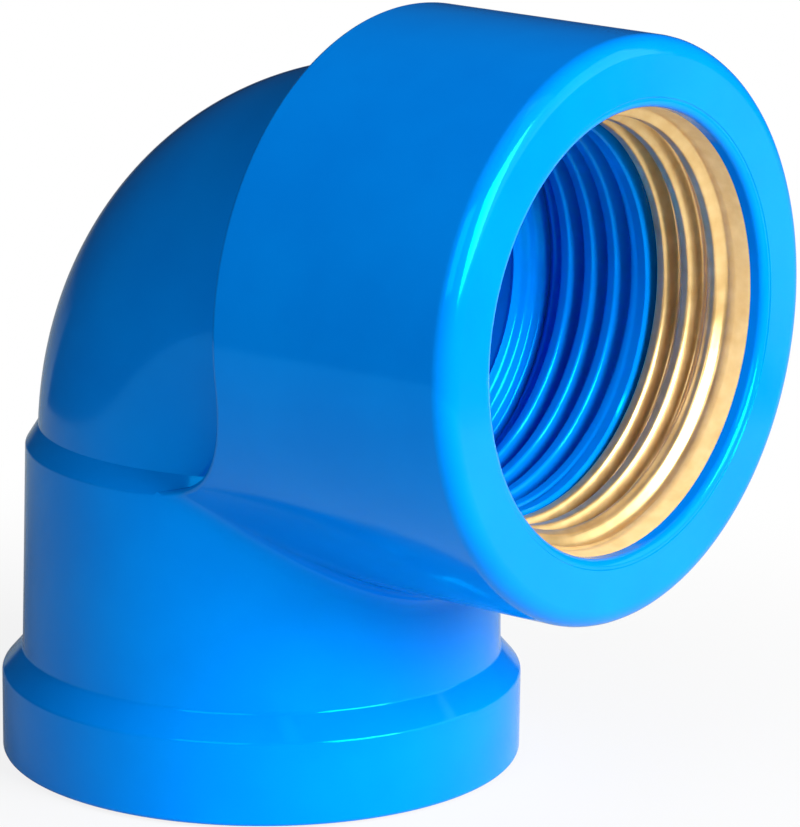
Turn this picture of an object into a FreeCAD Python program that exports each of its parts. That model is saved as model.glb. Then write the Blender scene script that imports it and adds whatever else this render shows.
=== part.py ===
import FreeCAD, Part
import math
import os
import re

import Sketcher
from FreeCAD import Placement, Rotation, Vector

# Injection-moulded pipe elbow: a glued pipe socket pointing down and a threaded boss pointing
# sideways, with a turned brass ring moulded into the mouth of the boss.
# Frame: the origin is the centre of the socket's end face, +Z runs up the socket,
# +X runs out of the threaded boss. Millimetres.

# Driving dimensions
SIZES = [
    # pipe socket
    ("socket_bore_radius", 12.55, "bore that takes the 25 mm pipe"),
    ("socket_depth", 16.9, "how far the pipe goes in"),
    ("socket_lead_in", 0.6, "chamfer at the mouth of the socket"),
    ("socket_wall", 2.55, "wall at the top of the socket"),
    ("socket_draft", 1.2, "mould draft of the socket's outside, degrees"),
    ("shoulder_rise", 3.4, "from the pipe stop up to the end of the socket's outside"),
    ("shoulder_slope", 58.0, "slope of the step down to the bend, degrees from level"),
    # collar round the end of the socket
    ("collar_overhang", 1.32, "collar beyond the socket's outside"),
    ("collar_height", 5.3, "straight side of the collar"),
    ("collar_slope", 49.0, "slope of the collar's top, degrees from level"),
    ("foot_bevel", 0.3, "bevel on the bottom edge"),
    # bend
    ("waterway_radius", 10.7, "bore of the bend"),
    ("throat_radius", 0.3, "inside corner of the bend"),
    ("stop_land", 3.45, "from the pipe stop to the start of the bend"),
    ("bend_wall", 3.6, "wall of the bend"),
    # threaded boss
    ("thread_radius", 13.22, "wall of the threaded bore, at the thread's root"),
    ("thread_taper", 1.4, "length of the cone from the thread down to the waterway"),
    ("boss_setback", 0.65, "from the end of the bend to the boss's back"),
    ("boss_length", 17.35, "from the boss's back to its face"),
    ("boss_cover", 2.16, "plastic round the brass ring"),
    ("boss_draft", 0.9, "mould draft of the boss's outside, degrees"),
    ("boss_face_bevel", 0.5, "bevel on the face's outer edge"),
    ("boss_back_bevel", 0.25, "bevel on the back edge and round the shoulder"),
    ("saddle_radius", 8.3, "inside corner where the boss's back sweeps down to the shoulder"),
    ("boss_root_round", 1.8, "blend from the boss into the socket"),
    ("lip_thickness", 1.1, "plastic in front of the brass ring"),
    ("lip_bevel", 0.35, "bevel on the mouth's edge"),
    # brass ring
    ("ring_length", 6.9, "length of the brass ring"),
    ("ring_wall", 2.2, "wall of the brass ring"),
    ("ring_flare_length", 1.0, "flared start of the ring's bore"),
    ("ring_flare", 0.15, "how much the flare opens"),
    ("ring_groove_width", 2.3, "groove that holds the ring lengthways"),
    ("ring_groove_depth", 0.8, "depth of that groove and of the key slots"),
    ("ring_slot_width", 2.2, "key slots that stop the ring turning"),
    ("ring_slots", 8, "number of key slots"),
]

# Worked-out dimensions
DERIVED = [
    ("socket_top_radius", "=socket_bore_radius + socket_wall"),
    ("shoulder_height", "=socket_depth + shoulder_rise"),
    ("bend_radius", "=waterway_radius + throat_radius"),
    ("bend_start", "=socket_depth + stop_land"),
    ("axis_height", "=bend_start + bend_radius"),
    ("collar_top", "=collar_height + collar_overhang * tan(collar_slope * 1 deg)"),
    ("socket_base_radius", "=socket_top_radius + (shoulder_height - collar_top) * tan(socket_draft * 1 deg)"),
    ("collar_radius", "=socket_base_radius + collar_overhang"),
    ("socket_hidden_radius",
     "=socket_top_radius - (axis_height - shoulder_height) * tan(socket_draft * 1 deg)"),
    ("bend_outer_radius", "=waterway_radius + bend_wall"),
    ("bend_cut", "=0.2 * bend_radius"),
    ("boss_back", "=bend_radius + boss_setback"),
    ("boss_face", "=boss_back + boss_length"),
    ("ring_outer_radius", "=thread_radius + ring_wall"),
    ("boss_face_radius", "=ring_outer_radius + boss_cover"),
    ("boss_root_radius", "=boss_face_radius + boss_face * tan(boss_draft * 1 deg)"),
    ("lip_radius", "=thread_radius + ring_flare"),
    ("ring_front", "=boss_face - lip_thickness"),
    ("ring_back", "=ring_front - ring_length"),
    ("ring_middle", "=(ring_front + ring_back) / 2"),
    ("thread_end", "=bend_radius + thread_taper"),
    ("saddle_reach", "=2 * collar_radius"),
    ("saddle_top", "=axis_height + 2 * boss_root_radius"),
    ("shoulder_edge_radius", "=socket_top_radius - boss_back_bevel"),
    ("shoulder_inner_radius", "=bend_outer_radius - bend_wall / 2"),
    ("shoulder_top",
     "=shoulder_height + (shoulder_edge_radius - shoulder_inner_radius) * tan(shoulder_slope * 1 deg)"),
]

# The socket's axis, the boss's axis, how close counts as equal, and the arcs in the bend's section
UP = Vector(0, 0, 1)
OUT = Vector(1, 0, 0)
NEAR = 1e-3
BEND_STRIPS = 8

doc = FreeCAD.newDocument("pvc_elbow")
sheet = doc.addObject("Spreadsheet::Sheet", "sizes")
scratch = doc.addObject("Spreadsheet::Sheet", "scratch")
NAMES = [entry[0] for entry in SIZES + DERIVED]
NAME_PATTERN = re.compile(r"\b(" + "|".join(NAMES) + r")\b")


def fill_sheet():
    """Write every driving and worked-out dimension into the sheet under its name."""
    row = 1
    for name, value, note in SIZES:
        sheet.set(f"A{row}", name)
        sheet.set(f"B{row}", str(value))
        sheet.set(f"C{row}", note)
        sheet.setAlias(f"B{row}", name)
        row += 1
    for name, formula in DERIVED:
        sheet.set(f"A{row}", name)
        sheet.set(f"B{row}", formula)
        sheet.setAlias(f"B{row}", name)
        row += 1
    doc.recompute()


def size(name):
    """The value of one named dimension."""
    return float(sheet.get(name))


def in_sheet(formula):
    """The same formula with each dimension name pointing into the sheet."""
    return NAME_PATTERN.sub(r"sizes.\1", formula)


def value_of(formula):
    """The present value of a formula of dimension names."""
    scratch.set("A1", "=" + in_sheet(formula))
    scratch.recompute()
    return float(scratch.get("A1"))


def new_body(name):
    body = doc.addObject("PartDesign::Body", name)
    body.Label = name
    return body


def new_sketch(body, name, role, **offsets):
    """A sketch on one of the body's own planes, moved by formulas x, y, z in the sketch's own frame."""
    sketch = body.newObject("Sketcher::SketchObject", name)
    plane = next(feature for feature in body.Origin.OriginFeatures if feature.Role == role)
    sketch.AttachmentSupport = (plane, [""])
    sketch.MapMode = "FlatFace"
    for letter, formula in offsets.items():
        sketch.setExpression("AttachmentOffset.Base." + letter, in_sheet(formula))
    doc.recompute()
    return sketch


def bind(sketch, constraint, formula):
    """Add a dimension to a sketch and drive it by a formula."""
    index = sketch.addConstraint(constraint)
    sketch.setExpression(f"Constraints[{index}]", in_sheet(formula))


def tie_point(sketch, geometry, vertex, across, up):
    """Hold a sketch point at two formulas; a formula of 0 puts it on the axis itself."""
    for kind, axis, formula in (("DistanceX", -2, across), ("DistanceY", -1, up)):
        if formula == "0":
            sketch.addConstraint(Sketcher.Constraint("PointOnObject", geometry, vertex, axis))
        else:
            bind(sketch, Sketcher.Constraint(kind, -1, 1, geometry, vertex, value_of(formula)), formula)


def outline(sketch, corners):
    """A closed outline of straight lines through corners, each given as two formulas."""
    points = [Vector(value_of(across), value_of(up), 0) for across, up in corners]
    count = len(points)
    for start in range(count):
        sketch.addGeometry(Part.LineSegment(points[start], points[(start + 1) % count]), False)
    for start in range(count):
        sketch.addConstraint(Sketcher.Constraint("Coincident", start, 2, (start + 1) % count, 1))
    for start, (across, up) in enumerate(corners):
        tie_point(sketch, start, 1, across, up)


def turn(body, name, sketch, axis="H_Axis", angle=360, cut=False):
    """Revolve a sketch about one of its axes, as solid or as a cut."""
    feature = body.newObject("PartDesign::Groove" if cut else "PartDesign::Revolution", name)
    feature.Profile = sketch
    feature.ReferenceAxis = (sketch, [axis])
    feature.Angle = angle
    doc.recompute()
    return feature


def edges_of(feature, test):
    """Names of the feature's edges that pass a test on the edge."""
    return [f"Edge{index}" for index, edge in enumerate(feature.Shape.Edges, 1) if test(edge)]


def dress_edges(body, kind, name, dimension, formula, test):
    """Round or bevel the edges of the body's tip that pass a test."""
    base = body.Tip
    names = edges_of(base, test)
    if not names:
        raise RuntimeError("no edge found for " + name)
    feature = body.newObject(kind, name)
    feature.Base = (base, names)
    feature.setExpression(dimension, in_sheet(formula))
    doc.recompute()
    return feature


def round_edges(body, name, radius, test):
    return dress_edges(body, "PartDesign::Fillet", name, "Radius", radius, test)


def bevel_edges(body, name, width, test):
    return dress_edges(body, "PartDesign::Chamfer", name, "Size", width, test)


def is_circle(edge, axis, radius, station):
    """Whether an edge is a circle about the socket or boss axis with this radius and station."""
    curve = edge.Curve
    if not isinstance(curve, Part.Circle) or abs(abs(curve.Axis.dot(axis)) - 1) > NEAR:
        return False
    return abs(curve.Radius - radius) < NEAR and abs(curve.Center.dot(axis) - station) < NEAR


fill_sheet()

# The elbow's outside, then its bores, as one moulding without its seat for the ring
moulding = new_body("elbow_moulding")

# Boss: a drafted drum about the side axis, from above the socket's axis out to its face
boss_profile = new_sketch(moulding, "boss_profile", "XZ_Plane", y="axis_height")
outline(boss_profile, [
    ("0", "0"),
    ("0", "boss_root_radius"),
    ("boss_face", "boss_face_radius"),
    ("boss_face", "0"),
])
turn(moulding, "boss", boss_profile)

# Socket: drafted tube with its collar, run up into the boss
socket_profile = new_sketch(moulding, "socket_profile", "XZ_Plane")
outline(socket_profile, [
    ("0", "0"),
    ("collar_radius", "0"),
    ("collar_radius", "collar_height"),
    ("socket_base_radius", "collar_top"),
    ("socket_hidden_radius", "axis_height"),
    ("0", "axis_height"),
])
turn(moulding, "socket", socket_profile, "V_Axis")

# Blend where the drum sits on the tube
boss_root = round_edges(moulding, "boss_root", "boss_root_round",
                        lambda edge: isinstance(edge.Curve, Part.BSplineCurve))

# Saddle: the boss and tube are cleared above the shoulder, up to the boss's back
saddle_profile = new_sketch(moulding, "saddle_profile", "XZ_Plane")
saddle_points = [
    ("-saddle_reach", "shoulder_height"),
    ("boss_back - saddle_radius", "shoulder_height"),
    ("boss_back", "shoulder_height + saddle_radius"),
    ("boss_back", "saddle_top"),
    ("-saddle_reach", "saddle_top"),
]
corner = [Vector(value_of(across), value_of(up), 0) for across, up in saddle_points]
centre = Vector(corner[1].x, corner[2].y, 0)
saddle_arc = Part.ArcOfCircle(Part.Circle(centre, UP, size("saddle_radius")), -math.pi / 2, 0)
saddle_profile.addGeometry(Part.LineSegment(corner[0], corner[1]), False)
saddle_profile.addGeometry(saddle_arc, False)
saddle_profile.addGeometry(Part.LineSegment(corner[2], corner[3]), False)
saddle_profile.addGeometry(Part.LineSegment(corner[3], corner[4]), False)
saddle_profile.addGeometry(Part.LineSegment(corner[4], corner[0]), False)
for before, after, kind in ((0, 1, "Tangent"), (1, 2, "Tangent"), (2, 3, "Coincident"), (3, 4, "Coincident"),
                            (4, 0, "Coincident")):
    saddle_profile.addConstraint(Sketcher.Constraint(kind, before, 2, after, 1))
tie_point(saddle_profile, 0, 1, *saddle_points[0])
saddle_profile.addConstraint(Sketcher.Constraint("Horizontal", 0))
saddle_profile.addConstraint(Sketcher.Constraint("Vertical", 2))
tie_point(saddle_profile, 3, 1, *saddle_points[3])
tie_point(saddle_profile, 4, 1, *saddle_points[4])
bind(saddle_profile, Sketcher.Constraint("Radius", 1, size("saddle_radius")), "saddle_radius")
saddle = moulding.newObject("PartDesign::Pocket", "saddle")
saddle.Profile = saddle_profile
saddle.Midplane = True
saddle.setExpression("Length", in_sheet("4 * boss_root_radius"))
doc.recompute()


def on_saddle(point):
    """Whether a point lies on the saddle's floor, its rounded corner or the boss's back."""
    floor = size("shoulder_height")
    back = size("boss_back")
    radius = size("saddle_radius")
    if point.x <= back - radius + NEAR:
        return abs(point.z - floor) < NEAR
    if point.z >= floor + radius - NEAR:
        return abs(point.x - back) < NEAR
    reach = math.hypot(point.x - (back - radius), point.z - (floor + radius))
    return abs(reach - radius) < NEAR


def is_saddle_rim(edge):
    """Whether an edge bounds the saddle and is none of its own straight folds."""
    middle = edge.valueAt((edge.FirstParameter + edge.LastParameter) / 2)
    return on_saddle(middle) and not isinstance(edge.Curve, Part.Line)


bevel_edges(moulding, "boss_back_edge", "boss_back_bevel", is_saddle_rim)

# Shoulder: the slope from the tube's rim up to the narrower bend
shoulder_profile = new_sketch(moulding, "shoulder_profile", "XZ_Plane")
outline(shoulder_profile, [
    ("0", "shoulder_height"),
    ("shoulder_edge_radius", "shoulder_height"),
    ("shoulder_inner_radius", "shoulder_top"),
    ("0", "shoulder_top"),
])
turn(moulding, "shoulder", shoulder_profile, "V_Axis")

# Bend: a quarter turn of a round section, cut off near the turning axis, where the boss fills it.
# The section is drawn as a few arcs of one circle, which turn into smooth strips side by side.
bend_profile = new_sketch(moulding, "bend_profile", "XY_Plane", x="bend_radius", z="bend_start")
section = Part.Circle(Vector(-size("bend_radius"), 0, 0), UP, size("bend_outer_radius"))
cut_angle = math.acos((size("bend_radius") - size("bend_cut")) / size("bend_outer_radius"))
strip_angle = (2 * math.pi - 2 * cut_angle) / BEND_STRIPS
for strip in range(BEND_STRIPS):
    start = cut_angle + strip * strip_angle
    bend_profile.addGeometry(Part.ArcOfCircle(section, start, start + strip_angle), False)
ends = (bend_profile.Geometry[BEND_STRIPS - 1].EndPoint, bend_profile.Geometry[0].StartPoint)
bend_profile.addGeometry(Part.LineSegment(*ends), False)
for strip in range(1, BEND_STRIPS):
    bend_profile.addConstraint(Sketcher.Constraint("Coincident", strip - 1, 2, strip, 1))
    bend_profile.addConstraint(Sketcher.Constraint("Coincident", strip - 1, 3, strip, 3))
bend_profile.addConstraint(Sketcher.Constraint("Coincident", BEND_STRIPS - 1, 2, BEND_STRIPS, 1))
bend_profile.addConstraint(Sketcher.Constraint("Coincident", BEND_STRIPS, 2, 0, 1))
bend_profile.addConstraint(Sketcher.Constraint("Vertical", BEND_STRIPS))
bend_profile.addConstraint(Sketcher.Constraint("PointOnObject", 0, 3, -1))
bind(bend_profile, Sketcher.Constraint("DistanceX", BEND_STRIPS, 1, -1, 1, size("bend_cut")), "bend_cut")
bind(bend_profile, Sketcher.Constraint("DistanceX", 0, 3, -1, 1, size("bend_radius")), "bend_radius")
bind(bend_profile, Sketcher.Constraint("Radius", 0, size("bend_outer_radius")), "bend_outer_radius")
turn(moulding, "bend", bend_profile, "V_Axis", 90)

# Short straight end of the bend, into the boss
outlet_profile = new_sketch(moulding, "outlet_profile", "XZ_Plane", y="axis_height")
outline(outlet_profile, [
    ("bend_radius", "0"),
    ("bend_radius", "bend_outer_radius"),
    ("boss_back + boss_setback", "bend_outer_radius"),
    ("boss_back + boss_setback", "0"),
])
turn(moulding, "outlet", outlet_profile)

# Bevels on the face's outer edge and the bottom edge
bevel_edges(moulding, "boss_face_edge", "boss_face_bevel",
            lambda edge: is_circle(edge, OUT, size("boss_face_radius"), size("boss_face")))
foot = bevel_edges(moulding, "foot_edge", "foot_bevel",
                   lambda edge: is_circle(edge, UP, size("collar_radius"), 0))

# Pipe socket with its stop, and the first straight part of the waterway
pipe_profile = new_sketch(moulding, "pipe_profile", "XZ_Plane")
outline(pipe_profile, [
    ("0", "-socket_lead_in"),
    ("socket_bore_radius + 2 * socket_lead_in", "-socket_lead_in"),
    ("socket_bore_radius", "socket_lead_in"),
    ("socket_bore_radius", "socket_depth"),
    ("waterway_radius", "socket_depth"),
    ("waterway_radius", "bend_start"),
    ("0", "bend_start"),
])
pipe_bore = turn(moulding, "pipe_bore", pipe_profile, "V_Axis", cut=True)

# Waterway round the bend
waterway_profile = new_sketch(moulding, "waterway_profile", "XY_Plane", x="bend_radius", z="bend_start")
waterway_circle = Part.Circle(Vector(-size("bend_radius"), 0, 0), UP, size("waterway_radius"))
waterway_profile.addGeometry(waterway_circle, False)
waterway_profile.addConstraint(Sketcher.Constraint("PointOnObject", 0, 3, -1))
bind(waterway_profile, Sketcher.Constraint("DistanceX", 0, 3, -1, 1, size("bend_radius")), "bend_radius")
bind(waterway_profile, Sketcher.Constraint("Radius", 0, size("waterway_radius")), "waterway_radius")
waterway = turn(moulding, "waterway", waterway_profile, "V_Axis", 90, cut=True)

# Threaded bore, plain here at the thread's root, with the lip that covers the ring's front
thread_profile = new_sketch(moulding, "thread_profile", "XZ_Plane", y="axis_height")
outline(thread_profile, [
    ("bend_radius", "0"),
    ("bend_radius", "waterway_radius"),
    ("thread_end", "thread_radius"),
    ("ring_front - ring_flare_length", "thread_radius"),
    ("ring_front", "lip_radius"),
    ("boss_face + lip_thickness", "lip_radius"),
    ("boss_face + lip_thickness", "0"),
])
thread_bore = turn(moulding, "thread_bore", thread_profile, cut=True)
bevel_edges(moulding, "lip_edge", "lip_bevel",
            lambda edge: is_circle(edge, OUT, size("lip_radius"), size("boss_face")))

# Brass ring: turned bore with a flared start, and a groove round its outside
ring = new_body("brass_ring")
ring_profile = new_sketch(ring, "ring_profile", "XZ_Plane", y="axis_height")
outline(ring_profile, [
    ("ring_back", "thread_radius"),
    ("ring_back", "ring_outer_radius"),
    ("ring_middle - ring_groove_width / 2", "ring_outer_radius"),
    ("ring_middle - ring_groove_width / 2", "ring_outer_radius - ring_groove_depth"),
    ("ring_middle + ring_groove_width / 2", "ring_outer_radius - ring_groove_depth"),
    ("ring_middle + ring_groove_width / 2", "ring_outer_radius"),
    ("ring_front", "ring_outer_radius"),
    ("ring_front", "lip_radius"),
    ("ring_front - ring_flare_length", "thread_radius"),
])
ring_turned = turn(ring, "ring_turned", ring_profile)

# Key slots along the ring's outside
slot_profile = new_sketch(ring, "slot_profile", "YZ_Plane", x="0", y="axis_height", z="ring_back")
slot_half = "ring_slot_width / 2"
slot_floor = "ring_outer_radius - ring_groove_depth"
outline(slot_profile, [
    ("-" + slot_half, slot_floor),
    (slot_half, slot_floor),
    (slot_half, "ring_outer_radius + ring_groove_depth"),
    ("-" + slot_half, "ring_outer_radius + ring_groove_depth"),
])
slot = ring.newObject("PartDesign::Pocket", "key_slot")
slot.Profile = slot_profile
slot.Reversed = True
slot.setExpression("Length", in_sheet("ring_length"))
doc.recompute()
slots = ring.newObject("PartDesign::PolarPattern", "key_slots")
slots.Originals = [slot]
slots.Axis = (ring_profile, ["H_Axis"])
slots.Angle = 360
slots.setExpression("Occurrences", in_sheet("ring_slots"))
ring.Tip = slots
ring.Label = "brass_insert"
doc.recompute()

# The plastic is moulded round the ring, so it takes the ring's outside exactly
housing = doc.addObject("Part::Cut", "elbow_body")
housing.Base = moulding
housing.Tool = ring
housing.Label = "elbow_body"
doc.recompute()

# Every feature must have worked, and each cut must have taken something away
for feature in doc.Objects:
    if "Invalid" in feature.State or "Error" in feature.State:
        raise RuntimeError(feature.Name + " did not build")
for before, after in ((boss_root, saddle), (foot, pipe_bore), (pipe_bore, waterway), (waterway, thread_bore),
                      (ring_turned, slot), (slot, slots), (moulding, housing)):
    if after.Shape.Volume >= before.Shape.Volume:
        raise RuntimeError(after.Name + " took nothing away")
for node in (housing, ring):
    if node.Shape.isNull() or not node.Shape.isValid() or len(node.Shape.Solids) != 1:
        raise RuntimeError(node.Label + " is not one sound solid")

os.makedirs("parts", exist_ok=True)
for node in (housing, ring):
    node.Shape.exportStep("parts/" + node.Label + ".step")
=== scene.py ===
import math

import bpy
import numpy as np
from mathutils import Matrix, Vector


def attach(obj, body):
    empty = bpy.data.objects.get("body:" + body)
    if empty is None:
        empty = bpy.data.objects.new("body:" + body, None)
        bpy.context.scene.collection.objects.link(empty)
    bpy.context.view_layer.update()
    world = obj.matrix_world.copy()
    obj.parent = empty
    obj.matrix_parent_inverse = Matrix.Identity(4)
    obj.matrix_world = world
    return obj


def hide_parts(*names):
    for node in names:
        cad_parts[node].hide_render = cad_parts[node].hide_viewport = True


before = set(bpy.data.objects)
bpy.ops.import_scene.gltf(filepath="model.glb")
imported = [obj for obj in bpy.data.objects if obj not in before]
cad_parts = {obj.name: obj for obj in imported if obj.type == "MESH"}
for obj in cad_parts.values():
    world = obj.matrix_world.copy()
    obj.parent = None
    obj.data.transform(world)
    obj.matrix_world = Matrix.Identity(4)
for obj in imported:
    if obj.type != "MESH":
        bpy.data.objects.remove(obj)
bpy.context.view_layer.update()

# Real sizes in millimetres, the same as the CAD model's. X is the boss's axis and Z the socket's.
MM = 0.001
AXIS = 31.35                # height of the threaded boss's axis
BEND_R = 11.0               # centre line of the bend
BEND_Z = 20.35              # where the bend starts
TUBE = 14.3                 # outside of the bend
WATER = 10.7                # waterway

SOCKET_BORE = 12.55         # bore for the pipe
SOCKET_DEPTH = 16.9         # up to the pipe's stop
LEAD_IN = 0.6               # chamfer at the socket's mouth
WALL_TOP = 15.1             # outside of the socket at the shoulder
WALL_DRAFT = math.radians(1.2)
SHOULDER = 20.3             # height of the shoulder
SLOPE = math.radians(58)    # the shoulder's slope down into the bend
SLOPE_RUN = 1.05            # how far that slope reaches inward
SLOPE_SECTOR = (54, 306)    # degrees round the socket that it is made for, as the boss hides the rest
COLLAR_R = 16.702
COLLAR_SIDE = 5.3           # top of the collar's straight side
COLLAR_TOP = 6.818          # where the collar's slope meets the socket
COLLAR_ROOT = 15.382        # outside of the socket there

FACE = 29.0                 # the boss's face
BACK = 11.65                # the boss's back
DRUM_FACE = 17.58           # outside of the boss at its face
DRUM_DRAFT = math.radians(0.9)
SADDLE = 8.3                # corner between the shoulder and the boss's back
ROOT = 1.8                  # blend between the boss and the socket
LIP = 13.37                 # mouth in front of the brass ring
STEP_R = 14.02              # fine step round the mouth
STEP = 0.06
LIP_BACK = 1.0              # the lip's back face reaches this far outward

RING_BACK = 21.0
RING_FRONT = 27.9
RING_SEAT = 15.42           # seat of the ring in the plastic
RING_R = 15.4               # outside of the ring
GROOVE_R = 14.62            # groove in its outside
GROOVE_FROM = 23.3
GROOVE_TO = 25.6
RING_EDGE = 0.1             # bevel on the ring's outer edges
RING_PLAY = 0.02            # the ring's ends stay this far inside its seat

# Small rounds
RIM = 0.3                   # on the boss's back edge and the shoulder's edge
FACE_ROUND = 1.2            # on the boss's face
COLLAR_ROUND = 0.35
STOP_ROUND = 0.2
FOOT_ROUND = 0.3
LIP_ROUND = 0.5
BORE_ROUND = 0.15
LEAD_ROUND = 0.12
TINY_ROUND = 0.05
STEP_ROUND = 0.03

# Thread, G 3/4
MAJOR = 13.22               # thread's root in the bore
MINOR = 12.06               # thread's crest
PITCH = 1.814
THREAD_PHASE = 18.28        # a crest's place along X
LAND = 0.05                 # the last crest before the brass stands this far back
LAND_EDGE = 0.12            # bevel of the plastic's edge beside the brass
PLASTIC_CREST, PLASTIC_FLANK = 0.15, 0.29
BRASS_CREST, BRASS_FLANK = 0.13, 0.30
BRASS_HEIGHT = 0.8          # share of the full height left on the brass's rounded ridges
BRASS_WEAR = 0.25           # the share that the ridge next to the mouth loses more
RUN_OUT = (12.3, 14.4)      # the plastic's thread grows to its full height along here
LAND_RISE = (20.0, 20.3)    # and goes over into the land here
WEAR_RISE = (24.6, 25.5)    # the brass's ridges get lower along here
BRASS_END = (26.2, 26.5)    # and end here
FLARE = 1.0                 # length of the flare at the ring's mouth
THROAT = 12.75              # where the bore narrows to the waterway
THROAT_END = 11.5
RIBS = 2.5                  # rings on that narrowing
RIB_HEIGHT = 0.2
THROAT_JOIN = 0.1           # cone between the narrowing and the waterway

CORNER_X = BACK - SADDLE    # centre of the saddle's corner
CORNER_Z = SHOULDER + SADDLE
WEDGE = SHOULDER - RIM
WALL_LOW = 11.4             # the socket's wall is plain up to here, below the boss
HIDDEN_R = 12.5             # inside the bend's wall
SEAT_R = 14.2               # inside the socket's wall
INSIDE_BEND = 1.5           # how far the boss's back runs into the bend's wall
INSIDE_BOSS = 0.7           # how far the bend's wall runs into the boss

FINE, ROUND, PLAIN, HALF = 360, 288, 220, 180   # steps round a surface, and round half of one


# ---------- surfaces as grids of points with their normals ----------

def drum_radius(x):
    return DRUM_FACE + (FACE - x) * math.tan(DRUM_DRAFT)


def wall_radius(z):
    return WALL_TOP + (SHOULDER - z) * math.tan(WALL_DRAFT)


def unit(v):
    return v / np.maximum(np.linalg.norm(v, axis=-1, keepdims=True), 1e-12)


def swept(points, normals, axis, count, low=0.0, high=360.0):
    """The grid of one run of outline points turned through an angle about "z" or the boss's "x"."""
    a = np.radians(np.linspace(low, high, count + 1))
    c, s = np.cos(a)[:, None], np.sin(a)[:, None]
    h, r = points[:, 0][None], points[:, 1][None]
    nh, nr = normals[:, 0][None], normals[:, 1][None]
    one = np.ones_like(c)
    if axis == "z":
        return np.stack([r * c, r * s, h * one], -1), np.stack([nr * c, nr * s, nh * one], -1)
    return np.stack([h * one, r * c, AXIS + r * s], -1), np.stack([nh * one, nr * c, nr * s], -1)


def between(n_from, n_to, t):
    """Directions turned evenly from one to another, at shares t of the way."""
    spread = math.acos(np.clip(np.dot(n_from, n_to), -1, 1))
    return (np.sin((1 - t) * spread) * n_from + np.sin(t * spread) * n_to) / math.sin(spread)


def arc_between(n_from, n_to, count):
    return between(n_from, n_to, np.linspace(0, 1, count)[:, None])


def turned(corners, axis, count=256, low=0.0, high=360.0):
    """Grids of an outline turned about the socket's axis ("z") or the boss's ("x").

    corners are (station, radius, rounding); the solid lies on the right of the way along them.
    """
    step, arc_step = 2.0, 14.0          # millimetres along a straight run, degrees round a rounding
    corners = np.array(corners, float)
    way = unit(corners[1:, :2] - corners[:-1, :2])
    side = np.stack([-way[:, 1], way[:, 0]], -1)
    ends = [[corners[i, :2].copy(), corners[i + 1, :2].copy()] for i in range(len(way))]
    arcs = []
    for i in range(1, len(way)):
        radius = corners[i, 2]
        bend = math.acos(np.clip(np.dot(way[i - 1], way[i]), -1, 1))
        if radius and bend:
            ends[i - 1][1] -= way[i - 1] * radius * math.tan(bend / 2)
            ends[i][0] += way[i] * radius * math.tan(bend / 2)
            hollow = way[i - 1][0] * way[i][1] - way[i - 1][1] * way[i][0] > 0
            reach = -radius if hollow else radius
            normals = arc_between(side[i - 1], side[i], max(4, int(math.degrees(bend) / arc_step)))
            centre = ends[i][0] - side[i] * reach
            arcs.append((centre + normals * reach, normals))
        else:
            arcs.append(None)
    grids = []
    for i, (a, b) in enumerate(ends):
        steps = max(2, int(np.linalg.norm(b - a) / step) + 1)
        points = a + np.linspace(0, 1, steps)[:, None] * (b - a)
        grids.append(swept(points, np.tile(side[i], (steps, 1)), axis, count, low, high))
        if i < len(arcs) and arcs[i]:
            grids.append(swept(*arcs[i], axis, count, low, high))
    return grids


def tube(radius, around, along, half, inward=False):
    """A quarter turn of a round tube, made as far as half degrees each way round its section."""
    v = np.linspace(-math.radians(half), math.radians(half), around)[:, None]
    u = np.linspace(0, math.pi / 2, along)[None]
    out = np.stack([-np.cos(u) * np.ones_like(v), np.zeros_like(u * v), np.sin(u) * np.ones_like(v)], -1)
    side = np.array([0.0, 1.0, 0.0])
    n = np.cos(v)[..., None] * out + np.sin(v)[..., None] * side
    centre = np.array([BEND_R, 0, BEND_Z]) + BEND_R * out
    return centre + radius * n, -n if inward else n


def mesh_from(name, grids):
    """One mesh of several grids, smooth with exactly the normals given."""
    smallest = 1e-9                     # faces with less than this are left out
    verts, norms, faces, base = [], [], [], 0
    for p, n in grids:
        rows, cols = p.shape[:2]
        index = base + np.arange(rows * cols).reshape(rows, cols)
        quads = np.stack([index[:-1, :-1], index[1:, :-1], index[1:, 1:], index[:-1, 1:]], -1).reshape(-1, 4)
        flat = p.reshape(-1, 3)
        q = flat[quads - base]
        area = np.cross(q[:, 2] - q[:, 0], q[:, 3] - q[:, 1])
        wanted = n.reshape(-1, 3)[quads - base].sum(1)
        flip = (area * wanted).sum(-1) < 0
        quads[flip] = quads[flip][:, ::-1]
        keep = np.linalg.norm(area, axis=-1) > smallest
        verts.append(flat)
        norms.append(unit(n.reshape(-1, 3)))
        faces.append(quads[keep])
        base += rows * cols
    verts, norms, faces = np.concatenate(verts) * MM, np.concatenate(norms), np.concatenate(faces)
    mesh = bpy.data.meshes.new(name)
    mesh.vertices.add(len(verts))
    mesh.vertices.foreach_set("co", verts.astype(np.float32).ravel())
    mesh.loops.add(faces.size)
    mesh.loops.foreach_set("vertex_index", faces.ravel().astype(np.int32))
    mesh.polygons.add(len(faces))
    mesh.polygons.foreach_set("loop_start", np.arange(0, faces.size, 4, dtype=np.int32))
    mesh.polygons.foreach_set("loop_total", np.full(len(faces), 4, dtype=np.int32))
    mesh.update(calc_edges=True)
    mesh.validate()
    mesh.polygons.foreach_set("use_smooth", np.ones(len(mesh.polygons), dtype=bool))
    mesh.normals_split_custom_set_from_vertices(norms.tolist())
    piece = bpy.data.objects.new(name, mesh)
    bpy.context.scene.collection.objects.link(piece)
    return piece


# ---------- the boss's back, its blend into the socket, and their edges ----------

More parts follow.
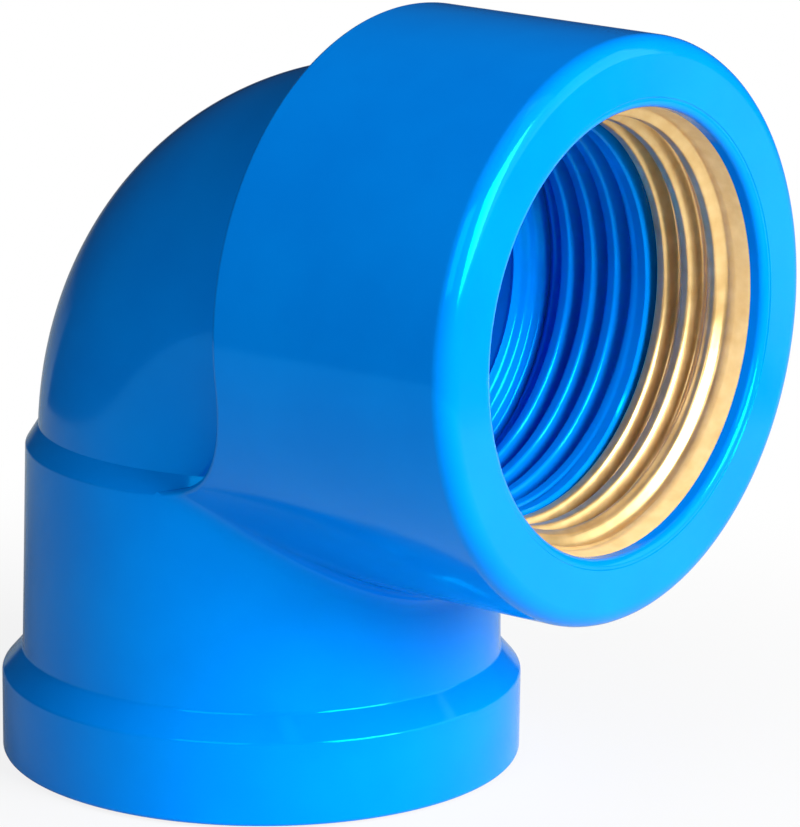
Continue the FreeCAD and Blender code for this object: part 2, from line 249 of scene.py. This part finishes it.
def cap(s, inset=0.0):
    """A point of the saddle's section at s millimetres along it, and its outward normal, both in (x, z)."""
    turn = s / SADDLE
    if s < 0:
        point, normal = (CORNER_X + s, SHOULDER), (0.0, 1.0)
    elif turn < math.pi / 2:
        normal = (-math.sin(turn), math.cos(turn))
        point = (CORNER_X - SADDLE * normal[0], CORNER_Z - SADDLE * normal[1])
    else:
        point, normal = (BACK, CORNER_Z + s - SADDLE * math.pi / 2), (-1.0, 0.0)
    return np.array([point[0] - inset * normal[0], point[1] - inset * normal[1]]), np.array(normal)


def ball_track(phi):
    """Centre of the ball that rolls in the corner between boss and socket, at angle phi round the socket."""
    lowest, halvings = 5.0, 60
    low, high = lowest, AXIS
    for _ in range(halvings):
        z = (low + high) / 2
        r = wall_radius(z) + ROOT / math.cos(WALL_DRAFT)
        off_axis = math.hypot(r * math.sin(phi), z - AXIS)
        gap = off_axis - drum_radius(r * math.cos(phi)) - ROOT / math.cos(DRUM_DRAFT)
        low, high = (z, high) if gap > 0 else (low, z)
    return np.array([r * math.cos(phi), r * math.sin(phi), z])


def wall_normal(p):
    a = math.atan2(p[1], p[0])
    return np.array([math.cos(a) * math.cos(WALL_DRAFT), math.sin(a) * math.cos(WALL_DRAFT), math.sin(WALL_DRAFT)])


def drum_normal(p):
    a = math.atan2(p[2] - AXIS, p[1])
    return np.array([math.sin(DRUM_DRAFT), math.cos(a) * math.cos(DRUM_DRAFT), math.sin(a) * math.cos(DRUM_DRAFT)])


TRACK_PHI = np.radians(np.linspace(0, 84, 421))   # every fifth of a degree, to where boss and socket part
TRACK = np.array([ball_track(phi) for phi in TRACK_PHI])
TRACK_WALL = np.array([wall_normal(p) for p in TRACK])
TRACK_DRUM = np.array([drum_normal(p) for p in TRACK])


def blend_place(p):
    """Where a point lies beside the rolling ball.

    Gives the angle round the socket, the distance from the ball's centre, the share of the blend's arc,
    whether it lies within that arc, and the outward direction.
    """
    d = np.linalg.norm(TRACK - p, axis=1)
    i = int(np.clip(d.argmin(), 1, len(TRACK) - 2))
    best = None
    for a, b in ((i - 1, i), (i, i + 1)):
        edge = TRACK[b] - TRACK[a]
        t = float(np.clip(np.dot(p - TRACK[a], edge) / np.dot(edge, edge), 0, 1))
        centre = TRACK[a] + t * edge
        reach = float(np.linalg.norm(p - centre))
        if best is None or reach < best[1]:
            n_wall = unit(TRACK_WALL[a] * (1 - t) + TRACK_WALL[b] * t)
            n_drum = unit(TRACK_DRUM[a] * (1 - t) + TRACK_DRUM[b] * t)
            toward = unit(p - centre)
            spread = math.acos(np.clip(np.dot(n_wall, n_drum), -1, 1))
            from_wall = math.acos(np.clip(np.dot(toward, -n_wall), -1, 1))
            from_drum = math.acos(np.clip(np.dot(toward, -n_drum), -1, 1))
            inside = max(from_wall, from_drum) <= spread + 1e-6
            phi = TRACK_PHI[a] * (1 - t) + TRACK_PHI[b] * t
            best = (phi, reach, from_wall / spread, inside, unit(centre - p))
    return best


def skirt(p):
    """Distance outside the blended boss and socket, and the outward direction."""
    wall = (math.hypot(p[0], p[1]) - wall_radius(p[2])) * math.cos(WALL_DRAFT)
    drum = (math.hypot(p[1], p[2] - AXIS) - drum_radius(p[0])) * math.cos(DRUM_DRAFT)
    out, normal = (wall, wall_normal(p)) if wall < drum else (drum, drum_normal(p))
    if max(wall, drum) < ROOT and p[0] > 0:
        _, reach, _, inside, direction = blend_place(p)
        if inside and ROOT - reach < out:
            return ROOT - reach, direction
    return out, normal


def rim_centre(s):
    """Centre of the small round along the edge between skirt and cap, on the +Y side, and its two normals."""
    nearest, farthest, halvings = 2.0, 19.5, 48
    (x, z), normal = cap(s, RIM)
    low, high = nearest, farthest
    for _ in range(halvings):
        y = (low + high) / 2
        low, high = (low, y) if skirt(np.array([x, y, z]))[0] > -RIM else (y, high)
    p = np.array([x, (low + high) / 2, z])
    return p, skirt(p)[1], np.array([normal[0], 0.0, normal[1]])


def mirrored(grid):
    p, n = grid
    flip = np.array([1.0, -1.0, 1.0])
    return p * flip, n * flip


def under_bend(x, z):
    """How far out in y the middle of the bend's wall lies at a place in its plane."""
    off = abs(BEND_R - math.hypot(x - BEND_R, z - BEND_Z)) if x < BEND_R else abs(z - AXIS)
    return math.sqrt(max(HIDDEN_R ** 2 - off ** 2, 0.0))


def edge_grids(low):
    """The round along the lower edge of the boss's back, and the saddle's floor inside it."""
    arc_steps, floor_steps = 7, 4
    edge_n = np.stack([arc_between(n_skirt, n_cap, arc_steps) for c, n_skirt, n_cap in low])
    edge = np.stack([c for c, n_skirt, n_cap in low])[:, None] + RIM * edge_n
    inner = edge[:, -1]
    hidden = inner.copy()
    hidden[:, 1] = np.minimum([under_bend(x, z) for x, y, z in inner], inner[:, 1])
    t = np.linspace(0, 1, floor_steps)[None, :, None]
    floor = inner[:, None] * (1 - t) + hidden[:, None] * t
    floor = floor, np.repeat(edge_n[:, -1][:, None], floor_steps, 1)
    return [(edge, edge_n), mirrored((edge, edge_n)), floor, mirrored(floor)]


def back_grids():
    """The upper half of the boss's back and of its edge, which are plain turned shapes."""
    arc_steps, back_steps = 7, 4
    middle = drum_radius(BACK + RIM) - RIM / math.cos(DRUM_DRAFT)
    turn = np.linspace(0, math.pi / 2 + DRUM_DRAFT, arc_steps) - DRUM_DRAFT
    normals = np.stack([-np.sin(turn), np.cos(turn)], -1)
    edge = swept(np.array([BACK + RIM, middle]) + RIM * normals, normals, "x", HALF, 0, 180)
    back = np.stack([np.full(back_steps, BACK), np.linspace(middle, TUBE - INSIDE_BEND, back_steps)], -1)
    return [edge, swept(back, np.tile([-1.0, 0.0], (back_steps, 1)), "x", HALF, 0, 180)]


def side_wall_grids(low):
    """The socket's wall under the boss, up to the blend and the rising edge of the saddle."""
    around, up = 120, 7
    behind_blend, on_wall = 0.25, 0.99999     # overlap in millimetres, and a cosine next to 1
    tops = [(math.atan2(c[1], c[0]), (c + RIM * n)[2]) for c, n, _ in low if np.dot(n, wall_normal(c)) > on_wall]
    tops.sort()
    first = tops[0][0]
    phi = np.linspace(0, tops[-1][0], around)
    hidden = np.interp(phi, TRACK_PHI, TRACK[:, 2]) + behind_blend
    top = np.where(phi >= first, np.interp(phi, [a for a, z in tops], [z for a, z in tops]), hidden)
    z = WALL_LOW + np.linspace(0, 1, up)[:, None] * (top - WALL_LOW)[None]
    r = wall_radius(z)
    wall = np.stack([r * np.cos(phi), r * np.sin(phi), z], -1)
    wall_n = np.stack([np.cos(phi) * math.cos(WALL_DRAFT) + 0 * z, np.sin(phi) * math.cos(WALL_DRAFT) + 0 * z,
                       np.full_like(z, math.sin(WALL_DRAFT))], -1)
    return [(wall, wall_n), mirrored((wall, wall_n))]


def blend_grids(low):
    """The blend between boss and socket, from the middle to the saddle's edge on each side."""
    across, along, close = 15, 101, 2e-3
    marks = []
    for c, n_skirt, n_cap in low:
        phi, reach, share, inside, _ = blend_place(c + RIM * n_skirt)
        if inside and abs(reach - ROOT) < close and 0 < phi:
            marks.append((share, phi))
    marks.sort()
    shares = np.linspace(0, 1, across)
    stop = np.interp(shares, [m[0] for m in marks], [m[1] for m in marks])
    t = np.linspace(0, 1, along)
    strip = np.zeros((along, across, 3))
    strip_n = np.zeros_like(strip)
    for j, share in enumerate(shares):
        phi = t * stop[j]
        centre = np.stack([np.interp(phi, TRACK_PHI, TRACK[:, k]) for k in range(3)], -1)
        for i in range(along):
            n = between(wall_normal(centre[i]), drum_normal(centre[i]), share)
            strip[i, j] = centre[i] - ROOT * n
            strip_n[i, j] = n
    return [(strip, strip_n), mirrored((strip, strip_n))]


def saddle_grids():
    """The boss's back with its edge round, the saddle's floor, and the blend into the socket."""
    up_to_axis, steps = SADDLE * math.pi / 2 + AXIS - CORNER_Z, 190
    low = [rim_centre(s) for s in np.linspace(0, up_to_axis, steps)]
    return edge_grids(low) + back_grids() + side_wall_grids(low) + blend_grids(low)


def drum_grids():
    """The boss's side from its back edge to the round at its face."""
    rounds, along = 5, 8
    theta = np.linspace(0, 2 * math.pi, FINE + 1)
    start = np.zeros_like(theta)
    for i, a in enumerate(theta):
        x = BACK
        for _ in range(rounds):         # the radius there depends on the place found
            z = AXIS + (drum_radius(x) - RIM) * math.sin(a)
            if z >= CORNER_Z:
                x = BACK + RIM
            elif z > WEDGE:
                x = CORNER_X + math.sqrt((SADDLE + RIM) ** 2 - (CORNER_Z - z) ** 2)
            else:
                x = math.sqrt(SEAT_R ** 2 - (drum_radius(x) * math.cos(a)) ** 2)
        start[i] = x
    end = FACE - FACE_ROUND * (1 - math.sin(DRUM_DRAFT))
    x = start[None] + np.linspace(0, 1, along)[:, None] * (end - start[None])
    r = drum_radius(x)
    p = np.stack([x, r * np.cos(theta), AXIS + r * np.sin(theta)], -1)
    n = np.stack([np.full_like(x, math.tan(DRUM_DRAFT)), np.cos(theta) + 0 * x, np.sin(theta) + 0 * x], -1)
    return [(p, n)]


# ---------- threads ----------

def ridge(turns, crest, flank):
    """Height of a rounded ridge that comes once a turn, from 0 in the valley to 1 at the crest.

    crest is half the crest's width and flank a flank's width, both as shares of the pitch.
    """
    away = np.abs((turns + 0.5) % 1.0 - 0.5)
    return 0.5 + 0.5 * np.cos(math.pi * np.clip((away - crest) / flank, 0, 1))


def ease(a, b, x):
    t = np.clip((x - a) / (b - a), 0, 1)
    return t * t * (3 - 2 * t)


def thread_grid(x_low, x_high, radius, columns=256, step=0.09):
    """A bore with a helical thread; radius(x, turns) gives its shape."""
    theta = np.linspace(0, 2 * math.pi, columns + 1)[None]
    x = np.linspace(x_low, x_high, int(round((x_high - x_low) / step)) + 1)[:, None]
    r = radius(x, theta / (2 * math.pi))
    p = np.stack([x + 0 * theta, r * np.cos(theta), AXIS + r * np.sin(theta)], -1)
    along = np.gradient(p, axis=0)
    wrap = np.concatenate([p[:, -2:-1], p, p[:, 1:2]], 1)
    n = unit(np.cross(wrap[:, 2:] - wrap[:, :-2], along))
    inward = np.stack([0 * p[..., 0], -p[..., 1], AXIS - p[..., 2]], -1)
    n[(inward * n).sum(-1) < 0] *= -1
    return p, n


def plastic_thread(x, turns):
    """The thread runs out towards the throat and ends in a plain land beside the brass."""
    crest = ridge((x - THREAD_PHASE) / PITCH - turns, PLASTIC_CREST, PLASTIC_FLANK)
    r = MAJOR - (MAJOR - MINOR) * ease(*RUN_OUT, x) * crest
    land = ease(*LAND_RISE, x)
    return r * (1 - land) + (MINOR + LAND) * land


def brass_thread(x, turns):
    """The thread goes on in the brass, lower towards the mouth, and ends before the flare."""
    crest = ridge((x - THREAD_PHASE) / PITCH - turns, BRASS_CREST, BRASS_FLANK)
    height = (MAJOR - MINOR) * (BRASS_HEIGHT - BRASS_WEAR * ease(*WEAR_RISE, x)) * (1 - ease(*BRASS_END, x))
    r = MAJOR - height * crest
    return r + (LIP - MAJOR) * np.clip((x - (RING_FRONT - FLARE)) / FLARE, 0, 1)


# ---------- the moulding ----------

def socket_grids():
    """Socket, collar, foot and the shoulder with its slope into the bend."""
    grids = turned([
        (BEND_Z, WATER, 0), (SOCKET_DEPTH, WATER, BORE_ROUND), (SOCKET_DEPTH, SOCKET_BORE, STOP_ROUND),
        (LEAD_IN, SOCKET_BORE, 0), (0.0, SOCKET_BORE + LEAD_IN, LEAD_ROUND), (0.0, COLLAR_R, FOOT_ROUND),
        (COLLAR_SIDE, COLLAR_R, COLLAR_ROUND), (COLLAR_TOP, COLLAR_ROOT, COLLAR_ROUND),
        (WALL_LOW, wall_radius(WALL_LOW), 0)], "z", ROUND)
    rim_r = wall_radius(WEDGE) - RIM / math.cos(WALL_DRAFT)
    boss_side = math.degrees(math.acos(CORNER_X / rim_r))
    away = (boss_side, 360 - boss_side)
    grids += turned([(WALL_LOW, wall_radius(WALL_LOW), 0), (WEDGE, wall_radius(WEDGE), 0)], "z", PLAIN, *away)
    rim_steps = 6
    turn = np.linspace(WALL_DRAFT, math.pi / 2 - SLOPE, rim_steps)
    rim_n = np.stack([np.sin(turn), np.cos(turn)], -1)
    grids.append(swept(np.array([WEDGE, rim_r]) + RIM * rim_n, rim_n, "z", PLAIN, *away))
    foot = (WEDGE + RIM * math.cos(SLOPE), rim_r + RIM * math.sin(SLOPE))
    top = (foot[0] + SLOPE_RUN * math.tan(SLOPE), foot[1] - SLOPE_RUN)
    return grids + turned([(*foot, 0), (*top, 0)], "z", PLAIN, *SLOPE_SECTOR)


def face_grids():
    """The boss's face with its round, the fine step round the mouth, and the lip in front of the brass."""
    face_r = drum_radius(FACE - FACE_ROUND) - FACE_ROUND / math.cos(DRUM_DRAFT)
    arc_steps = 9
    turn = np.linspace(math.pi / 2 - DRUM_DRAFT, 0, arc_steps)
    normals = np.stack([np.cos(turn), np.sin(turn)], -1)
    grids = [swept(np.array([FACE - FACE_ROUND, face_r]) + FACE_ROUND * normals, normals, "x", FINE)]
    return grids + turned([
        (FACE, face_r, 0), (FACE, STEP_R, STEP_ROUND), (FACE - STEP, STEP_R - STEP, STEP_ROUND),
        (FACE - STEP, LIP, LIP_ROUND), (RING_FRONT, LIP, 0), (RING_FRONT, LIP + LIP_BACK, 0)], "x", FINE)


def throat_grids():
    """The narrowing behind the thread, with its rings, down to the waterway."""
    start, end = np.array([THROAT, MAJOR]), np.array([THROAT_END, WATER])
    outward = unit(np.array([MAJOR - WATER, THROAT_END - THROAT]))
    steps = 41
    share = np.linspace(0, 1, steps)
    hump = RIB_HEIGHT * (0.5 - 0.5 * np.cos(2 * math.pi * RIBS * share))
    line = start + share[:, None] * (end - start) + hump[:, None] * outward
    along = np.gradient(line, axis=0)
    grids = [swept(line, unit(np.stack([-along[:, 1], along[:, 0]], -1)), "x", ROUND)]
    return grids + turned([
        (*line[-1], 0), (THROAT_END - THROAT_JOIN, WATER, TINY_ROUND), (BEND_R, WATER, 0)], "x", ROUND)


def moulding_grids():
    wall_half = 130                     # the bend's wall isn't made where the boss covers it
    grids = socket_grids()
    grids.append(tube(TUBE, 145, 91, wall_half))
    grids += turned([(BEND_R, TUBE, 0), (BACK + INSIDE_BOSS, TUBE, 0)], "x", ROUND)
    grids.append(tube(WATER, 121, 49, 180, inward=True))
    grids += saddle_grids() + drum_grids() + face_grids() + throat_grids()
    grids.append(thread_grid(THROAT, RING_BACK - LAND_EDGE, plastic_thread))
    return grids + turned([
        (RING_BACK, RING_SEAT, 0), (RING_BACK, MINOR + LAND + LAND_EDGE, 0),
        (RING_BACK - LAND_EDGE, MINOR + LAND, 0)], "x", ROUND)


# ---------- the brass ring ----------

def ring_grids():
    """The threaded bore, the back with its broken edge, and the outside with its groove."""
    back, front = RING_BACK + RING_PLAY, RING_FRONT - RING_PLAY
    broken, opening = 0.12, 0.012       # the broken edge at the back: its depth, and share of the radius
    bore = thread_grid(back + broken, RING_FRONT, brass_thread)
    edge = bore[0][0]
    from_axis = (edge - np.array([back, 0.0, AXIS])) * np.array([0.0, 1.0, 1.0])
    rows = np.stack([edge,
                     edge + from_axis * opening - np.array([broken, 0, 0]),
                     np.array([back, 0.0, AXIS]) + unit(from_axis) * (RING_R - RING_EDGE)])
    slant = unit(-from_axis / MAJOR - np.array([1.0, 0, 0]))
    flat = np.broadcast_to(np.array([-1.0, 0, 0]), rows[1:].shape)
    grids = [bore, (rows[:2], np.stack([slant, slant])), (rows[1:], flat)]
    return grids + turned([
        (back, RING_R - RING_EDGE, 0), (back + RING_EDGE, RING_R, 0),
        (GROOVE_FROM, RING_R, TINY_ROUND), (GROOVE_FROM, GROOVE_R, TINY_ROUND),
        (GROOVE_TO, GROOVE_R, TINY_ROUND), (GROOVE_TO, RING_R, TINY_ROUND),
        (front - RING_EDGE, RING_R, 0), (front, RING_R - RING_EDGE, 0), (front, LIP, 0)], "x", 256)


moulding = mesh_from("moulded_elbow", moulding_grids())
ring = mesh_from("brass_ring", ring_grids())
for piece, node in ((moulding, "elbow_body"), (ring, "brass_insert")):
    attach(piece, "root")
    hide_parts(node)


# ---------- materials ----------

# noise value and colour there, at two places of the ramp
PVC_COLOURS = ((0.35, (0.0, 0.212, 0.79)), (0.65, (0.0, 0.232, 0.83)))
BRASS_COLOURS = ((0.2, (0.78, 0.50, 0.19)), (0.8, (0.97, 0.71, 0.33)))
PVC_SHEEN = (0.0, 1.0, 0.35, 1)      # tint of its reflection
PVC_IOR, PVC_METAL = 1.32, 0.10
PVC_ROUGH = (0.07, 0.14)
BRASS_ROUGH = (0.26, 0.36)
ENTRY = (0.0263, 0.0268)             # along X, where the thread ends and the plain entry begins
THREAD_METAL, ENTRY_METAL = 0.80, 0.05
ENTRY_DULL = 0.22                    # added to the entry's roughness


def new_material(name):
    material = bpy.data.materials.new(name)
    material.use_nodes = True
    tree = material.node_tree
    return material, tree, tree.nodes["Principled BSDF"]


def noise(tree, place, scale, detail, roughness=0.5):
    """The value of a noise at a place."""
    node = tree.nodes.new("ShaderNodeTexNoise")
    node.inputs["Scale"].default_value = scale
    node.inputs["Detail"].default_value = detail
    node.inputs["Roughness"].default_value = roughness
    tree.links.new(place, node.inputs["Vector"])
    return node.outputs["Fac"]


def ranged(tree, value, low, high, start=0.0, end=1.0):
    """A value that goes from low to high while another goes from start to end."""
    node = tree.nodes.new("ShaderNodeMapRange")
    node.inputs["From Min"].default_value = start
    node.inputs["From Max"].default_value = end
    node.inputs["To Min"].default_value = low
    node.inputs["To Max"].default_value = high
    tree.links.new(value, node.inputs["Value"])
    return node.outputs["Result"]


def math_node(tree, operation, *values):
    """Arithmetic on sockets and numbers, given in the order of the node's inputs."""
    node = tree.nodes.new("ShaderNodeMath")
    node.operation = operation
    for socket, value in zip(node.inputs, values):
        if isinstance(value, float):
            socket.default_value = value
        else:
            tree.links.new(value, socket)
    return node


def tinted(tree, shader, value, stops):
    """Base colour from a value, between two colours at two positions."""
    ramp = tree.nodes.new("ShaderNodeValToRGB")
    for element, (position, colour) in zip(ramp.color_ramp.elements, stops):
        element.position = position
        element.color = (*colour, 1)
    tree.links.new(value, ramp.inputs["Fac"])
    tree.links.new(ramp.outputs["Color"], shader.inputs["Base Color"])


def bumped(tree, shader, height, strength, distance):
    bump = tree.nodes.new("ShaderNodeBump")
    bump.inputs["Strength"].default_value = strength
    bump.inputs["Distance"].default_value = distance
    tree.links.new(height, bump.inputs["Height"])
    tree.links.new(bump.outputs["Normal"], shader.inputs["Normal"])


def blue_pvc():
    """Glossy moulded plastic with a slight cloud in its colour and gloss."""
    material, tree, shader = new_material("blue_pvc")
    shader.inputs["Specular Tint"].default_value = PVC_SHEEN
    shader.inputs["IOR"].default_value = PVC_IOR
    shader.inputs["Metallic"].default_value = PVC_METAL
    place = tree.nodes.new("ShaderNodeTexCoord").outputs["Object"]
    cloud = noise(tree, place, scale=140.0, detail=3.0)
    patch = noise(tree, place, scale=420.0, detail=4.0)
    wave = noise(tree, place, scale=260.0, detail=5.0, roughness=0.6)
    tinted(tree, shader, cloud, PVC_COLOURS)
    tree.links.new(ranged(tree, patch, *PVC_ROUGH), shader.inputs["Roughness"])
    bumped(tree, shader, wave, strength=0.03, distance=0.0003)
    return material


def turned_brass():
    """Brass with fine turning lines; its entry, nearer the mouth, is duller and less of a mirror."""
    material, tree, shader = new_material("turned_brass")
    shader.inputs["Specular IOR Level"].default_value = 0.2
    place = tree.nodes.new("ShaderNodeTexCoord").outputs["Object"]
    apart = tree.nodes.new("ShaderNodeSeparateXYZ")
    tree.links.new(place, apart.inputs["Vector"])
    entry = ranged(tree, apart.outputs["X"], 0.0, 1.0, *ENTRY)
    tree.links.new(ranged(tree, entry, THREAD_METAL, ENTRY_METAL), shader.inputs["Metallic"])
    stain = noise(tree, place, scale=900.0, detail=4.0)
    tinted(tree, shader, stain, BRASS_COLOURS)
    dull = math_node(tree, "MULTIPLY_ADD", entry, ENTRY_DULL, ranged(tree, stain, *BRASS_ROUGH))
    tree.links.new(dull.outputs[0], shader.inputs["Roughness"])
    along = tree.nodes.new("ShaderNodeCombineXYZ")
    tree.links.new(apart.outputs["X"], along.inputs["X"])
    lines = noise(tree, along.outputs["Vector"], scale=9000.0, detail=3.0)
    bumped(tree, shader, lines, strength=0.12, distance=0.00005)
    return material


moulding.data.materials.append(blue_pvc())
ring.data.materials.append(turned_brass())


# ---------- floor ----------

FLOOR_HALF, FLOOR_DROP = 3.0, 0.0002
PAPER = (0.72, 0.72, 0.72, 1)
NEAR, AWAY = 0.02, 0.075             # the floor goes over to plain white between these distances
NEAR_WHITE = 0.85                    # share of plain white under the part


def pale_floor():
    """Pale paper that goes over to plain white away from the part, for the camera only."""
    material, tree, shader = new_material("pale_floor")
    shader.inputs["Base Color"].default_value = PAPER
    shader.inputs["Roughness"].default_value = 0.9
    shader.inputs["Specular IOR Level"].default_value = 0.0
    white = tree.nodes.new("ShaderNodeEmission")
    reach = tree.nodes.new("ShaderNodeVectorMath")
    reach.operation = "LENGTH"
    tree.links.new(tree.nodes.new("ShaderNodeTexCoord").outputs["Object"], reach.inputs[0])
    share = ranged(tree, reach.outputs["Value"], NEAR_WHITE, 1.0, NEAR, AWAY)
    share.node.interpolation_type = "SMOOTHSTEP"
    camera_ray = tree.nodes.new("ShaderNodeLightPath").outputs["Is Camera Ray"]
    mix = tree.nodes.new("ShaderNodeMixShader")
    tree.links.new(math_node(tree, "MULTIPLY", camera_ray, share).outputs[0], mix.inputs["Fac"])
    tree.links.new(shader.outputs["BSDF"], mix.inputs[1])
    tree.links.new(white.outputs["Emission"], mix.inputs[2])
    tree.links.new(mix.outputs["Shader"], tree.nodes["Material Output"].inputs["Surface"])
    return material


def plane(name, half, place):
    mesh = bpy.data.meshes.new(name)
    mesh.from_pydata([(-half, -half, 0), (half, -half, 0), (half, half, 0), (-half, half, 0)], [], [(0, 1, 2, 3)])
    sheet = bpy.data.objects.new(name, mesh)
    sheet.location = place
    bpy.context.scene.collection.objects.link(sheet)
    return sheet


floor = plane("floor", FLOOR_HALF, (0, 0, -FLOOR_DROP))
floor.data.materials.append(pale_floor())


# ---------- world and lamps ----------

ROOM_LIGHT = 0.02                    # the world's own light on the part
CENTRE = Vector((0.004, 0, 0.026))   # the part's middle, which the lamps face

world = bpy.data.worlds.new("studio")
bpy.context.scene.world = world
world.use_nodes = True
tree = world.node_tree
sky = tree.nodes["Background"]
sky.inputs["Color"].default_value = (1, 1, 1, 1)
path = tree.nodes.new("ShaderNodeLightPath")
seen = math_node(tree, "ADD", path.outputs["Is Camera Ray"], path.outputs["Is Glossy Ray"])
white = math_node(tree, "ADD", seen.outputs[0], path.outputs["Is Transmission Ray"])
white.use_clamp = True
tree.links.new(ranged(tree, white.outputs[0], ROOM_LIGHT, 1.0), sky.inputs["Strength"])


def lamp(name, azimuth, elevation, distance, size, level):
    """A square soft lamp that lights a surface facing it to the given level."""
    a, e = math.radians(azimuth), math.radians(elevation)
    data = bpy.data.lights.new(name, "AREA")
    data.size = size
    data.energy = level * (math.pi * distance) ** 2
    light = bpy.data.objects.new(name, data)
    light.location = CENTRE + distance * Vector((math.cos(a) * math.cos(e), math.sin(a) * math.cos(e), math.sin(e)))
    light.rotation_euler = (light.location - CENTRE).to_track_quat("Z", "Y").to_euler()
    bpy.context.scene.collection.objects.link(light)


lamp("key", azimuth=-3, elevation=21, distance=0.38, size=0.21, level=1.84)
lamp("side", azimuth=36, elevation=18, distance=0.60, size=0.40, level=0.22)
lamp("fill", azimuth=-72, elevation=32, distance=0.65, size=0.35, level=0.33)
lamp("top", azimuth=-90, elevation=75, distance=0.60, size=0.40, level=0.06)


def card(name, shade, az_from, az_to, profile):
    """A sheet turned about the set from (radius, height) points, which only reflections show."""
    steps = 61
    turns = np.radians(np.linspace(az_from, az_to, steps))
    verts = [(r * math.cos(a), r * math.sin(a), z) for r, z in profile for a in turns]
    faces = [(r * steps + c, r * steps + c + 1, (r + 1) * steps + c + 1, (r + 1) * steps + c)
             for r in range(len(profile) - 1) for c in range(steps - 1)]
    mesh = bpy.data.meshes.new(name)
    mesh.from_pydata(verts, [], faces)
    paint = bpy.data.materials.new(name)
    paint.use_nodes = True
    glow = paint.node_tree.nodes.new("ShaderNodeEmission")
    glow.inputs["Strength"].default_value = shade
    paint.node_tree.links.new(glow.outputs["Emission"], paint.node_tree.nodes["Material Output"].inputs["Surface"])
    mesh.materials.append(paint)
    sheet = bpy.data.objects.new(name, mesh)
    bpy.context.scene.collection.objects.link(sheet)
    for ray in ("camera", "diffuse", "transmission", "shadow"):
        setattr(sheet, "visible_" + ray, False)


# a dark room beyond the near floor, open in front of the boss
NEAR_FLOOR, FAR, ABOVE = 0.125, 1.2, 0.0006   # its radii, and its height over the floor
DARK = 0.02
ground = [(NEAR_FLOOR, ABOVE), (FAR, ABOVE)]
dome = [(FAR * math.cos(e), FAR * math.sin(e)) for e in np.radians(np.linspace(0, 90, 13))]
card("dark_ground", DARK, 172, 410, ground)
card("dark_dome", DARK, 25, 345, dome)


# ---------- camera ----------

AZ, EL, ROLL = math.radians(39.399), math.radians(13.708), math.radians(0.761)
DISTANCE, SIDE, UP = 257.0, 8.98, 21.23   # millimetres from the socket's foot
SENSOR, LENS = 36.0, 172.3
out = Vector((math.sin(AZ) * math.cos(EL), -math.cos(AZ) * math.cos(EL), math.sin(EL)))
right = Vector((math.cos(AZ), math.sin(AZ), 0))
up = out.cross(right)
right, up = (right * math.cos(ROLL) + up * math.sin(ROLL), up * math.cos(ROLL) - right * math.sin(ROLL))
lens = bpy.data.cameras.new("camera")
lens.sensor_width = SENSOR
lens.lens = LENS
lens.clip_start = 0.01
camera = bpy.data.objects.new("camera", lens)
bpy.context.scene.collection.objects.link(camera)
eye = (out * DISTANCE + right * SIDE + up * UP) * MM
camera.matrix_world = Matrix.Translation(eye) @ Matrix((right, up, out)).transposed().to_4x4()
bpy.context.scene.camera = camera

bpy.context.scene.view_settings.view_transform = "Standard"
